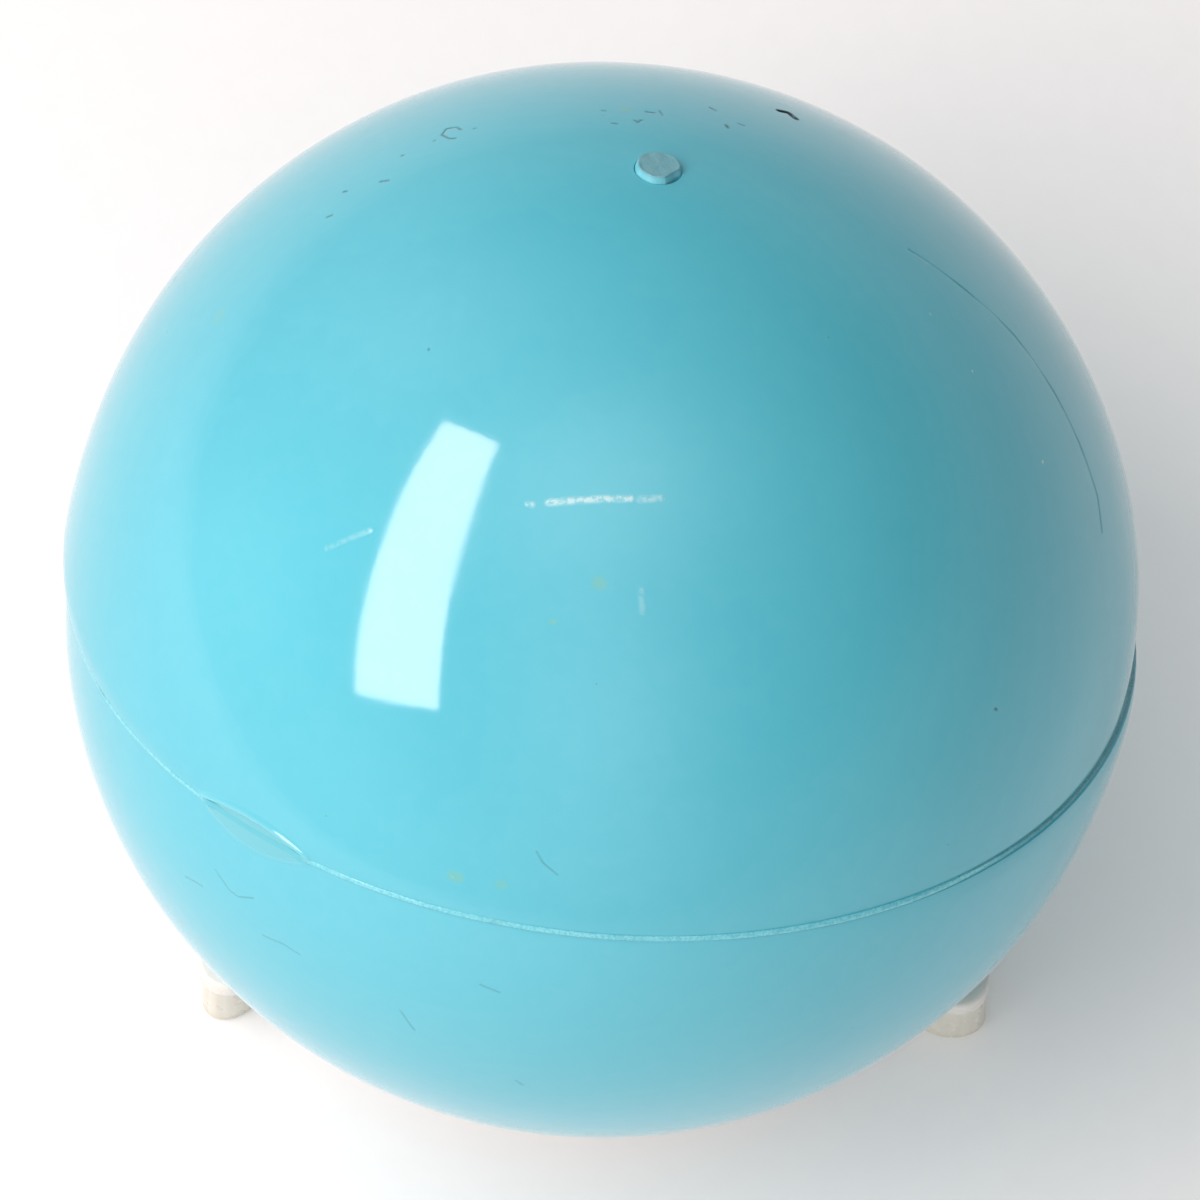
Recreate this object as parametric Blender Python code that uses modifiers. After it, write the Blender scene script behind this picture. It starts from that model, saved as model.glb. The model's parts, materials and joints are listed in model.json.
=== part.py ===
"""Friction ball for opening screw-down watch case backs, resting on its three-footed plastic stand.

The ball is a hollow moulding in soft rubber: two half shells joined at a raised seam bead, with a plug bonded
through the pole of the upper one. It sits in the dished seat of a flat ring, whose three lobes are pegged to
short oval feet. Metres, +Z up, origin on the surface that the stand rests on, below the ball's centre.
"""

import math

import bmesh
import bpy
from mathutils import Matrix

# Ball
BALL_RADIUS = 0.0325
WALL = 0.004
FLOOR_GAP = 0.0015  # free height under the ball
PLUG_TILT = math.radians(28.4)  # lean of the plug from straight up
PLUG_AZIMUTH = math.radians(79.5)  # way it leans, from +X towards +Y
SEAM_TILT = math.radians(30.2)  # the same for the seam's axis, as the plug is a little off the pole
SEAM_AZIMUTH = math.radians(80.7)
ARC_STEPS = 14  # segments along a quarter of the ball's outline
TURN_STEPS = 56  # segments round the ball and the ring

# Seam bead
BEAD_WIDTH = 0.0004
BEAD_PROUD = 0.0002
BEAD_DEPTH = 0.0016

# Plug
PLUG_RADIUS = 0.0014
PLUG_PROUD = 0.0005
PLUG_FLANGE_RADIUS = 0.004
PLUG_FLANGE_DEPTH = 0.0025
PLUG_CHAMFER = 0.00015

# Stand
RING_OUTER_RADIUS = 0.023
RING_THICKNESS = 0.0016
SEAT_RADIUS = 0.0166  # where the ball rests on the dished edge
SEAT_OVERRUN = 0.0005
LOBE_RADIUS = 0.002
LOBE_CENTRE_RADIUS = 0.02625
LOBE_OFFSET = -0.0002  # sideways from the foot's own direction
FOOT_HEIGHT = 0.0044
FOOT_LONG = 0.0024  # half length of the oval, at the bottom
FOOT_WIDE = 0.0017  # half width of the oval, at the bottom
FOOT_DRAFT = 0.94  # size at the top against the bottom
FOOT_CENTRE_RADIUS = 0.0259
FOOT_OFFSET = -0.0004
FOOT_TURN = math.radians(20)  # of the oval from straight outwards
FOOT_EDGE = 0.0003
PEG_RADIUS = 0.001
PEG_INSET = 0.0002  # peg's end below the ring's top
FOOT_AZIMUTHS = {"front_left_foot": -150, "front_right_foot": -30, "rear_foot": 90}

GAP = 0.0003  # between pieces that touch
MERGE = 0.00001
ROUND_STEPS = 40

BALL_CENTRE = (0.0, 0.0, BALL_RADIUS + FLOOR_GAP)
RING_BOTTOM = FOOT_HEIGHT + GAP
RING_TOP = RING_BOTTOM + RING_THICKNESS


def clear_scene():
    for obj in list(bpy.data.objects):
        bpy.data.objects.remove(obj)


def new_collection(name):
    collection = bpy.data.collections.new(name)
    bpy.context.scene.collection.children.link(collection)
    return collection


def new_material(name, colour, roughness):
    material = bpy.data.materials.new(name)
    material.use_nodes = True
    shader = material.node_tree.nodes["Principled BSDF"]
    shader.inputs["Base Color"].default_value = (*colour, 1.0)
    shader.inputs["Roughness"].default_value = roughness
    shader.inputs["Metallic"].default_value = 0.0
    return material


def new_object(name, mesh, collection, parent=None):
    obj = bpy.data.objects.new(name, mesh)
    obj.parent = parent
    collection.objects.link(obj)
    return obj


def smooth(mesh, angle=35):
    mesh.shade_smooth()
    mesh.set_sharp_from_angle(angle=math.radians(angle))


def arc(radius, start, end, steps):
    """Points (x, z) on a circle about the origin, by the angle from +X up to +Z."""
    for step in range(steps + 1):
        angle = start + (end - start) * step / steps
        yield radius * math.cos(angle), radius * math.sin(angle)


def turned(name, profile, closed, collection, parent, material):
    """A solid turned about its own Z from (x, z) points that run down the outer side."""
    mesh = bpy.data.meshes.new(name)
    count = len(profile)
    edges = [(i, i + 1) for i in range(count - 1)]
    if closed:
        edges.append((count - 1, 0))
    mesh.from_pydata([(x, 0.0, z) for x, z in profile], edges, [])
    obj = new_object(name, mesh, collection, parent)
    obj.data.materials.append(material)
    screw = obj.modifiers.new("turn", "SCREW")
    screw.axis = "Z"
    screw.steps = TURN_STEPS
    screw.render_steps = TURN_STEPS
    screw.use_merge_vertices = True
    screw.merge_threshold = MERGE
    screw.use_smooth_shade = True
    return obj


def stand_place(radius, offset, azimuth, turn=0.0):
    """Placement at a radius and a sideways offset in a direction from the stand's centre."""
    outwards = Matrix.Rotation(azimuth, 4, "Z") @ Matrix.Translation((radius, offset, 0.0))
    return outwards @ Matrix.Rotation(turn, 4, "Z")


def add_prism(mesh, segments, bottom, top, low_radius, high_radius, place=Matrix()):
    """Adds an upright closed cone or cylinder to a mesh."""
    solid = bmesh.new()
    solid.from_mesh(mesh)
    centre = Matrix.Translation((0.0, 0.0, (bottom + top) / 2))
    bmesh.ops.create_cone(
        solid,
        cap_ends=True,
        segments=segments,
        radius1=low_radius,
        radius2=high_radius,
        depth=top - bottom,
        matrix=place @ centre,
    )
    solid.to_mesh(mesh)
    solid.free()


def new_tool(name, mesh, collection, parent=None):
    """A hidden solid that a Boolean cuts or joins with."""
    tool = new_object(name, mesh, collection, parent)
    tool.hide_render = True
    tool.display_type = "WIRE"
    return tool


def apply_boolean(obj, tool, operation):
    modifier = obj.modifiers.new(tool.name, "BOOLEAN")
    modifier.solver = "EXACT"
    modifier.operation = operation
    modifier.object = tool


def make_upper_half(collection, tools, seam_axis, plug_axis, material):
    """Half shell above the seam, with the hole that the plug fills."""
    inner = BALL_RADIUS - WALL
    rim = BEAD_WIDTH / 2 + GAP
    outside = arc(BALL_RADIUS, math.pi / 2, math.asin(rim / BALL_RADIUS), ARC_STEPS)
    inside = arc(inner, math.asin(rim / inner), math.pi / 2, ARC_STEPS)
    half = turned("ball_upper_half", [*outside, *inside], False, collection, seam_axis, material)
    hole = bpy.data.meshes.new("plug_hole")
    radius = PLUG_RADIUS + GAP
    add_prism(hole, ROUND_STEPS, inner - WALL, BALL_RADIUS + WALL, radius, radius)
    apply_boolean(half, new_tool("plug_hole", hole, tools, plug_axis), "DIFFERENCE")


def make_lower_half(collection, parent, material):
    """Half shell below the seam."""
    inner = BALL_RADIUS - WALL
    rim = BEAD_WIDTH / 2 + GAP
    inside = arc(inner, -math.pi / 2, -math.asin(rim / inner), ARC_STEPS)
    outside = arc(BALL_RADIUS, -math.asin(rim / BALL_RADIUS), -math.pi / 2, ARC_STEPS)
    turned("ball_lower_half", [*inside, *outside], False, collection, parent, material)


def make_seam_bead(collection, parent, material):
    """Ring of joint rubber between the halves, rounded where it stands proud of them."""
    half = BEAD_WIDTH / 2
    crown = [
        (BALL_RADIUS + BEAD_PROUD * math.cos(angle), half * math.sin(angle))
        for angle in (math.pi / 2 - math.pi * step / 6 for step in range(7))
    ]
    root = BALL_RADIUS - BEAD_DEPTH
    turned("seam_bead", [(root, half), *crown, (root, -half)], True, collection, parent, material)


def make_valve_plug(collection, parent, material):
    """Plug through the wall: a small round end outside and a wide flange inside."""
    top = BALL_RADIUS + PLUG_PROUD
    flange_top = math.sqrt((BALL_RADIUS - WALL) ** 2 - PLUG_FLANGE_RADIUS**2) - GAP
    flange_bottom = flange_top - PLUG_FLANGE_DEPTH
    profile = [
        (0.0, top),
        (PLUG_RADIUS - PLUG_CHAMFER, top),
        (PLUG_RADIUS, top - PLUG_CHAMFER),
        (PLUG_RADIUS, flange_top),
        (PLUG_FLANGE_RADIUS, flange_top),
        (PLUG_FLANGE_RADIUS, flange_bottom + PLUG_FLANGE_DEPTH / 2),
        (PLUG_FLANGE_RADIUS / 2, flange_bottom),
        (0.0, flange_bottom),
    ]
    turned("valve_plug", profile, False, collection, parent, material)


def make_stand_ring(collection, tools, material):
    """Flat ring with a dished inner edge, and a lobe over each foot."""
    mesh = bpy.data.meshes.new("stand_ring")
    add_prism(mesh, TURN_STEPS, RING_BOTTOM, RING_TOP, RING_OUTER_RADIUS, RING_OUTER_RADIUS)
    ring = new_object("stand_ring", mesh, collection)
    ring.data.materials.append(material)

    for name, degrees in FOOT_AZIMUTHS.items():
        place = stand_place(LOBE_CENTRE_RADIUS, LOBE_OFFSET, math.radians(degrees))
        end = bpy.data.meshes.new(name + "_lobe_end")
        add_prism(end, ROUND_STEPS, RING_BOTTOM, RING_TOP, LOBE_RADIUS, LOBE_RADIUS, place)
        apply_boolean(ring, new_tool(name + "_lobe_end", end, tools), "UNION")

        inner_end = RING_OUTER_RADIUS - 2 * LOBE_RADIUS
        length = LOBE_CENTRE_RADIUS - inner_end
        arm = bmesh.new()
        middle = Matrix.Translation((-length / 2, 0.0, (RING_BOTTOM + RING_TOP) / 2))
        size = Matrix.Diagonal((length, 2 * LOBE_RADIUS, RING_THICKNESS, 1.0))
        bmesh.ops.create_cube(arm, size=1.0, matrix=place @ middle @ size)
        arm_mesh = bpy.data.meshes.new(name + "_lobe_arm")
        arm.to_mesh(arm_mesh)
        arm.free()
        apply_boolean(ring, new_tool(name + "_lobe_arm", arm_mesh, tools), "UNION")

    # the seat follows the ball where it touches, as a cone along the ball's slope there
    drop = math.sqrt(BALL_RADIUS**2 - SEAT_RADIUS**2)
    slope = SEAT_RADIUS / drop
    seat_height = BALL_CENTRE[2] - drop - GAP * BALL_RADIUS / drop
    low = RING_BOTTOM - SEAT_OVERRUN
    high = RING_TOP + SEAT_OVERRUN
    seat = bpy.data.meshes.new("seat")
    low_radius = SEAT_RADIUS + (low - seat_height) / slope
    high_radius = SEAT_RADIUS + (high - seat_height) / slope
    add_prism(seat, TURN_STEPS, low, high, low_radius, high_radius)
    apply_boolean(ring, new_tool("seat", seat, tools), "DIFFERENCE")

    for name, degrees in FOOT_AZIMUTHS.items():
        place = stand_place(LOBE_CENTRE_RADIUS, LOBE_OFFSET, math.radians(degrees))
        hole = bpy.data.meshes.new(name + "_peg_hole")
        radius = PEG_RADIUS + GAP
        add_prism(hole, ROUND_STEPS, low, high, radius, radius, place)
        apply_boolean(ring, new_tool(name + "_peg_hole", hole, tools), "DIFFERENCE")


def make_foot(name, degrees, collection, tools, material):
    """Short oval post, wider at the floor, with a peg that enters the ring's lobe."""
    azimuth = math.radians(degrees)
    place = stand_place(FOOT_CENTRE_RADIUS, FOOT_OFFSET, azimuth, FOOT_TURN)
    oval = Matrix.Diagonal((FOOT_LONG, FOOT_WIDE, 1.0, 1.0))
    mesh = bpy.data.meshes.new(name)
    add_prism(mesh, ROUND_STEPS, 0.0, FOOT_HEIGHT, 1.0, FOOT_DRAFT, place @ oval)
    smooth(mesh)
    foot = new_object(name, mesh, collection)
    foot.data.materials.append(material)
    rounding = foot.modifiers.new("edge", "BEVEL")
    rounding.width = FOOT_EDGE
    rounding.segments = 3
    rounding.limit_method = "ANGLE"
    rounding.angle_limit = math.radians(50)

    peg = bpy.data.meshes.new(name + "_peg")
    peg_place = stand_place(LOBE_CENTRE_RADIUS, LOBE_OFFSET, azimuth)
    peg_bottom = FOOT_HEIGHT / 2
    add_prism(peg, ROUND_STEPS, peg_bottom, RING_TOP - PEG_INSET, PEG_RADIUS, PEG_RADIUS, peg_place)
    apply_boolean(foot, new_tool(name + "_peg", peg, tools), "UNION")


def new_axis(name, tilt, azimuth, collection):
    """An empty at the ball's centre whose Z leans from straight up."""
    axis = new_object(name, None, collection)
    lean = Matrix.Rotation(azimuth, 4, "Z") @ Matrix.Rotation(tilt, 4, "Y")
    axis.matrix_world = Matrix.Translation(BALL_CENTRE) @ lean
    return axis


def make_ball(collection, tools):
    """The ball turns about the axis through its plug; its seam lies across a second axis."""
    rubber = new_material("ball_rubber", (0.12, 0.56, 0.68), 0.25)
    bead_rubber = new_material("seam_rubber", (0.15, 0.60, 0.72), 0.35)
    plug_rubber = new_material("plug_rubber", (0.20, 0.52, 0.60), 0.5)
    plug_axis = new_axis("plug_axis", PLUG_TILT, PLUG_AZIMUTH, collection)
    seam_axis = new_axis("seam_axis", SEAM_TILT, SEAM_AZIMUTH, collection)
    make_upper_half(collection, tools, seam_axis, plug_axis, rubber)
    make_lower_half(collection, seam_axis, rubber)
    make_seam_bead(collection, seam_axis, bead_rubber)
    make_valve_plug(collection, plug_axis, plug_rubber)


def make_stand(collection, tools):
    ring_plastic = new_material("stand_plastic", (0.80, 0.77, 0.70), 0.4)
    foot_plastic = new_material("foot_plastic", (0.72, 0.69, 0.60), 0.4)
    make_stand_ring(collection, tools, ring_plastic)
    for name, degrees in FOOT_AZIMUTHS.items():
        make_foot(name, degrees, collection, tools, foot_plastic)


def main():
    clear_scene()
    parts = new_collection("case_opening_friction_ball")
    tools = new_collection("cutters")
    make_ball(parts, tools)
    make_stand(parts, tools)
    bpy.context.view_layer.update()


main()
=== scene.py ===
"""Looks of the friction ball on its three-footed stand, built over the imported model.

The ball's halves, seam and plug, and the stand's ring and feet, are rebuilt as finer meshes with procedural
materials. Each stands in for its own CAD node and rides on the same body.
"""

import json
import math

import bmesh
import bpy
import numpy as np
from mathutils import Matrix, Vector


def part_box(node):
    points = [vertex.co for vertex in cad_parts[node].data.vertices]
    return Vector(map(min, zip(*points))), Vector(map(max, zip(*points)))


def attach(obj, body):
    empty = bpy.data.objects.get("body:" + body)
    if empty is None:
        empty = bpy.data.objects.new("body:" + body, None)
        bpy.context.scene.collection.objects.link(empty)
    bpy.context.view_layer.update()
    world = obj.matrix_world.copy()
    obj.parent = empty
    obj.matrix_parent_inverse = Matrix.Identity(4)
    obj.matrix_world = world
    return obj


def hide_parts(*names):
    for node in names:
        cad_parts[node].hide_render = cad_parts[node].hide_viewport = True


MM = 0.001

# Halves of the ball
WALL = 4.0 * MM
COLUMNS = 640  # of faces, round the seam
INNER_ROWS = 26
HOLE_CLEARANCE = 0.015 * MM  # between the plug and its hole
HOLE_LIP = 0.02 * MM
EDGE_START = 0.17 * MM  # where each half begins, from the seam's middle
EDGE_DEPTHS = np.array([0.15, 0.4, 1.0, 2.5]) * MM  # rows down the edge, below the surface
MISMATCH = 0.2 * MM  # sideways shift of each half at the seam
MISMATCH_REACH = 4.5 * MM
EDGE_ROUNDING = 1.6 * MM
EDGE_DROP = 0.16 * MM
CORNER_ROUNDING = 0.4 * MM
CORNER_DROP = 0.035 * MM
WAVES = ((0.02 * MM, 26 * MM, 5), (0.004 * MM, 7 * MM, 6))  # height, size and seed
SURFACE_BAND = 0.01 * MM  # points this close to the surface belong to it
GOUGE_DEPTH = 0.2  # in millimetres; a deeper mark is a gouge whose walls are painted dark as painted shade
FINEST_EDGE = 0.09 * MM  # of the faces under the marks

# Trimmed flash on the seam, as an eye-shaped flat with a rounded rim
TRIM_LONGITUDE = math.radians(-131.3)
TRIM_HALF_LENGTH = 4.6 * MM
TRIM_WIDTHS = (1.0 * MM, 1.35 * MM)  # above and below the seam
TRIM_DEPTH = 0.07 * MM
TRIM_RIM = 0.15 * MM

# Seam
SEAM_OVERLAP = 0.02 * MM  # of the joint rubber under each half
SEAM_CROWN = 0.09 * MM
SEAM_SWELL = 0.03 * MM
SEAM_SUNK = 0.12 * MM  # on the side where the joint rubber lies low
SEAM_EDGE_LATITUDE = 0.012  # where the halves' edges are measured, in radians

# Plug
PLUG_CUT = 0.08 * MM  # off the CAD plug's end
PLUG_BITE = math.radians(-45)  # its direction about the plug
PLUG_BITE_SHARE = 0.88  # of the radius, left at the bite
PLUG_DISH = 0.03 * MM

# Stand
RING_ROUNDING = 0.3 * MM
SEAT_CLEARANCE = 0.3 * MM
LOBE_FILLET = 1.2 * MM
LOBE_KEEP_OUT = math.radians(20)  # either side of a lobe, where the plain circle isn't measured
FOOT_ROUNDING = 0.35 * MM
FOOT_TAPER = 0.06  # share by which a foot narrows towards its top
FLUTES = ((11, 0.004 * MM, 0.0), (19, 0.002 * MM, 1.0))  # count, height and phase
PEG_CLEARANCE = 0.08 * MM
SHARP_ANGLE = math.radians(40)

CAMERA_ELEVATION = math.radians(66.8)
CAMERA_ROLL = math.radians(-1.1)
CAMERA_DISTANCE = 20.0  # in ball radii
CAMERA_FILL = 0.897  # ball's width over the picture's
CAMERA_SHIFT = (-0.0015, -0.0004)

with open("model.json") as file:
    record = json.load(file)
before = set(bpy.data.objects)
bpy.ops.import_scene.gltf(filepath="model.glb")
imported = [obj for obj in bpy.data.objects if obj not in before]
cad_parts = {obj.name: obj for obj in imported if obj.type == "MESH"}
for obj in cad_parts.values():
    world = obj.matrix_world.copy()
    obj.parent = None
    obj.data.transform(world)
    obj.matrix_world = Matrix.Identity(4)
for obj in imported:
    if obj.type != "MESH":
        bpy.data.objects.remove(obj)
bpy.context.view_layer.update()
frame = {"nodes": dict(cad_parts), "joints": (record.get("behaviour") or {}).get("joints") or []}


def unit(vectors):
    return vectors / np.linalg.norm(vectors, axis=-1, keepdims=True)


def smoothstep(value, low, high):
    share = np.clip((value - low) / (high - low), 0.0, 1.0)
    return share * share * (3.0 - 2.0 * share)


def hump(value, width):
    return np.exp(-((value / width) ** 2))


def turn_from(bearing, angles):
    """Turn from a bearing to each angle, between minus and plus half a turn."""
    return np.angle(np.exp(1j * (angles - bearing)))


def ring(angles, radius, height, across, away, axis):
    """Points round an axis through the origin. Radius and height are one number, or one for each angle."""
    return (
        np.multiply.outer(radius * np.cos(angles), across)
        + np.multiply.outer(radius * np.sin(angles), away)
        + np.multiply.outer(height * np.ones_like(angles), axis)
    )


def ripple(points, size, seed):
    """Smooth random height between about -1 and 1, with lumps of roughly the given size."""
    rng = np.random.default_rng(seed)
    total = np.zeros(points.shape[:-1])
    for _ in range(14):
        wave = unit(rng.normal(size=3)) * rng.uniform(0.6, 1.4) * math.tau / size
        total += np.sin(points @ wave + rng.uniform(0, math.tau))
    return total / 4.0


class BallAxes:
    """The ball's centre, radius and axes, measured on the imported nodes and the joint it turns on."""

    def __init__(self):
        turn = next(j for j in frame["joints"] if j["name"] == "ball_turn")
        self.centre = np.array(turn["pos_m"])
        self.plug = unit(np.array(turn["axis"], float))
        shell = self.node_points("ball_upper_half")
        self.radius = float(np.linalg.norm(shell, axis=1).max())
        bead = self.node_points("seam_bead")
        normal = np.linalg.svd(bead - bead.mean(axis=0), full_matrices=False)[2][2]
        self.up = normal * np.sign(normal @ self.plug)
        self.right = unit(np.cross((0.0, 1.0, 0.0), self.up))
        self.back = np.cross(self.up, self.right)

    def node_points(self, node):
        vertices = frame["nodes"][node].data.vertices
        return np.array([v.co for v in vertices]) - self.centre

    def direction(self, longitude, latitude):
        """Unit vectors from angles about the seam's axis."""
        level = np.cos(latitude)
        return (
            np.multiply.outer(level * np.cos(longitude), self.right)
            + np.multiply.outer(level * np.sin(longitude), self.back)
            + np.multiply.outer(np.sin(latitude), self.up)
        )

    def about_seam(self, angles, radius, height):
        """A ring about the seam's axis, at a height above the seam."""
        return ring(angles, radius, height, self.right, self.back, self.up)

    def about_plug(self, angles, radius, height):
        """A ring about the plug's axis, at a height along it from the ball's centre."""
        across = unit(self.right - self.plug * (self.right @ self.plug))
        return ring(angles, radius, height, across, np.cross(self.plug, across), self.plug)


ball = BallAxes()


# Meshes


def new_piece(name, mesh, body, node, material):
    """Adds a mesh as the piece that stands for a CAD node."""
    mesh.materials.append(material)
    piece = bpy.data.objects.new(name, mesh)
    bpy.context.scene.collection.objects.link(piece)
    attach(piece, body)
    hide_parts(node)
    return piece


def grid_mesh(name, rows, closed_rows, first_tip=None, last_tip=None):
    """A mesh from rows of points that each close on themselves.

    The rows join end to start if closed_rows is set. A tip closes the first or last row to a point.
    """
    count, width = rows.shape[:2]
    index = np.arange(count * width).reshape(count, width)
    lower = index if closed_rows else index[:-1]
    upper = np.roll(index, -1, axis=0) if closed_rows else index[1:]
    quads = np.stack(
        [lower, np.roll(lower, -1, axis=1), np.roll(upper, -1, axis=1), upper], axis=-1
    )
    points = [tuple(p) for p in rows.reshape(-1, 3)]
    faces = [tuple(int(i) for i in f) for f in quads.reshape(-1, 4)]
    for tip, row, forward in ((first_tip, index[0], False), (last_tip, index[-1], True)):
        if tip is None:
            continue
        points.append(tuple(tip))
        for here, there in zip(row, np.roll(row, -1)):
            pair = (int(here), int(there)) if forward else (int(there), int(here))
            faces.append((*pair, len(points) - 1))
    mesh = bpy.data.meshes.new(name)
    mesh.from_pydata(points, [], faces)
    mesh.shade_smooth()
    shape = bmesh.new()
    shape.from_mesh(mesh)
    bmesh.ops.recalc_face_normals(shape, faces=shape.faces)
    shape.to_mesh(mesh)
    shape.free()
    return mesh


def graded(fine, coarse, length, ramp):
    """Distances from 0 to length whose spacing grows from fine to coarse."""
    places = [0.0]
    while places[-1] < length:
        share = min(places[-1] / ramp, 1.0)
        places.append(places[-1] + fine + (coarse - fine) * share * share)
    return np.array(places) * length / places[-1]


def column_angles():
    """Longitudes round the seam, closer together at the trimmed flash."""
    even = np.linspace(-math.pi, math.pi, 4096)
    gap = np.abs(turn_from(TRIM_LONGITUDE, even))
    density = 1.0 + 2.0 * hump(gap, math.radians(10))
    total = np.concatenate([[0.0], np.cumsum((density[1:] + density[:-1]) / 2)])
    wanted = np.arange(COLUMNS) / COLUMNS * total[-1]
    return np.interp(wanted, total, even)


# Marks


def aim(azimuth, elevation):
    """Unit vector from degrees about +Z, from +X towards +Y, and degrees above the horizon."""
    turn, rise = math.radians(azimuth), math.radians(elevation)
    return Vector((math.cos(turn) * math.cos(rise), math.sin(turn) * math.cos(rise), math.sin(rise)))


# Marks on the ball. Each is a line through points given by azimuth and elevation from the ball's centre, in
# degrees, then its half width and its depth in millimetres, and its strength.
MARKS = {}
MARKS["chalk"] = (
    (((-120, 74.5), (-118.5, 74.6)), 0.28, -0.01, 0.6),
    (((-113, 75.5), (-96, 76.9), (-78, 76.9)), 0.32, -0.01, 0.8),
    (((-74, 76.6), (-65, 76)), 0.32, -0.01, 0.45),
    (((-151.5, 56), (-149, 61)), 0.25, -0.005, 0.2),
    (((-79.6, 67.5), (-80, 65.3)), 0.28, -0.005, 0.2),
    (((22.5, 51), (22.3, 51)), 0.12, -0.01, 0.8),
    (((12.5, 47.5), (12.4, 47.5)), 0.12, -0.01, 0.8),
    (((2, 37.5), (1.8, 37.5)), 0.14, -0.01, 0.8),
    (((68, 36), (66, 35.5)), 0.12, -0.01, 0.5),
)
# Dark marks: hair lines and specks of dirt, and painted shade in the crease (the first stroke), the small
# pits and the gouge (the last stroke).
MARKS["soil_and_shade"] = (
    (
        ((35, 48.5), (27.5, 43.6), (20.5, 37.9), (13.5, 33.1), (7.5, 29), (2.5, 25.6), (-1.5, 24.4)),
        0.12, 0.05, 0.35,
    ),
    (((-98, 39.6), (-97, 38.4), (-95, 37.2)), 0.08, 0.03, 0.35),
    (((-136, 16), (-133.5, 15.1), (-132.3, 15.3), (-130.5, 17)), 0.09, 0.03, 0.35),
    (((-139.5, 10), (-138, 11), (-137, 11.5)), 0.08, 0.03, 0.35),
    (((-128.2, 12.4), (-125.5, 13.5), (-123.3, 13.6)), 0.08, 0.03, 0.35),
    (((-111, 12.8), (-109.2, 10)), 0.09, 0.03, 0.35),
    (((-102.7, 21), (-100.4, 20.4)), 0.09, 0.03, 0.35),
    (((-98, 4.5), (-97.2, 3.6)), 0.09, 0.03, 0.35),
    (((114.3, 48.6), (114.6, 47.6), (116, 47), (117.3, 48), (116.8, 49.6), (116, 50)), 0.11, 0.03, 0.75),
    (((91.5, 50.5), (91, 50.6)), 0.13, 0.03, 0.55),
    (((89.8, 53.5), (89, 53.6)), 0.13, 0.03, 0.7),
    (((86, 52.6), (85.3, 53), (84.8, 52.4)), 0.13, 0.03, 0.65),
    (((84.3, 50.3), (83, 50.3)), 0.12, 0.03, 0.7),
    (((82.2, 49.6), (81.6, 50.6)), 0.1, 0.03, 0.6),
    (((75, 46), (74, 46.4)), 0.13, 0.03, 0.75),
    (((71.2, 49.4), (70.8, 49.8)), 0.18, 0.03, 0.8),
    (((69.8, 48), (68.8, 48)), 0.11, 0.03, 0.6),
    (((124.5, 48), (124.3, 48.2)), 0.11, 0.03, 0.7),
    (((130.5, 50.2), (129.6, 51)), 0.13, 0.03, 0.65),
    (((135, 47), (134.8, 47.3)), 0.15, 0.03, 0.75),
    (((140.4, 48.5), (139.8, 48.9)), 0.14, 0.03, 0.6),
    (((112.5, 49.5), (112.3, 49.5)), 0.12, 0.03, 0.7),
    (((119, 48.5), (118.8, 48.5)), 0.10, 0.03, 0.6),
    (((150, 22.5), (149.8, 22.8)), 0.14, 0.03, 0.8),
    (((167, 71), (166.8, 71)), 0.12, 0.03, 0.6),
    (((-31.5, 33.5), (-31.4, 33.3)), 0.14, 0.03, 0.8),
    (((66.5, 39.4), (65.5, 38.7), (64, 39.6)), 0.30, 0.35, 1.0),
)
MARKS["stain"] = (
    (((-91, 68.5), (-90.5, 68.4)), 0.6, 0.0, 0.5),
    (((-108, 34.5), (-107.5, 34.5)), 0.6, 0.0, 0.6),
    (((-102, 35), (-101.8, 35)), 0.5, 0.0, 0.45),
    (((159.5, 41.5), (160, 41.5)), 0.7, 0.0, 0.35),
    (((-101.5, 64), (-101, 64)), 0.25, 0.0, 0.5),
    (((88, 50), (87.5, 50)), 0.45, 0.0, 0.5),
)


# Halves


def seam_places(points):
    """Longitude, and distance from the seam along the surface, of points about the ball's centre."""
    d = unit(points)
    longitude = np.arctan2(d @ ball.back, d @ ball.right)
    return longitude, np.arcsin(np.clip(d @ ball.up, -1.0, 1.0)) * ball.radius


def trim_shape(longitude, rise):
    """Shares of the trimmed flash's flat and of the rounded rim about it, at each place. The rim's share also
    sets a painted highlight there.
    """
    along = turn_from(TRIM_LONGITUDE, longitude) * ball.radius
    share = np.clip(1.0 - (along / TRIM_HALF_LENGTH) ** 2, 0.0, 1.0)
    inside = np.where(rise > 0, *TRIM_WIDTHS) * share - np.abs(rise)
    flat = smoothstep(inside, 0.0, 0.25 * MM) * smoothstep(share, 0.0, 0.4)
    strength = np.where(rise > 0, 1.0, 0.3) * smoothstep(share, 0.0, 0.3)
    rim = hump(inside, np.where(rise > 0, 0.24, 0.13) * MM) * strength
    return flat, rim


def half_height(points, side):
    """Height of a half's outer surface above the true sphere."""
    longitude, rise = seam_places(points)
    distance = np.abs(rise)
    shift = -side * MISMATCH * np.cos(longitude) * hump(distance, MISMATCH_REACH)
    edge = np.clip(1.0 - distance / EDGE_ROUNDING, 0.0, 1.0) ** 2
    proud = np.clip(-side * np.cos(longitude), 0.0, 1.0)
    corner = np.clip(1.0 - distance / CORNER_ROUNDING, 0.0, 1.0) ** 2
    flat, rim = trim_shape(longitude, rise)
    height = (shift - EDGE_DROP * edge * proud - CORNER_DROP * corner) * (1 - flat)
    waviness = sum(tall * ripple(points, size, seed) for tall, size, seed in WAVES)
    return height + waviness + TRIM_RIM * rim - TRIM_DEPTH * flat


def raise_outer(points, side):
    """Moves the points by the outer surface's height, less and less towards the inner wall."""
    reach = np.linalg.norm(points, axis=-1)
    share = smoothstep(reach, ball.radius - 1.0 * MM, ball.radius - 0.2 * MM)
    return points + unit(points) * (half_height(points, side) * share)[..., None]


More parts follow.
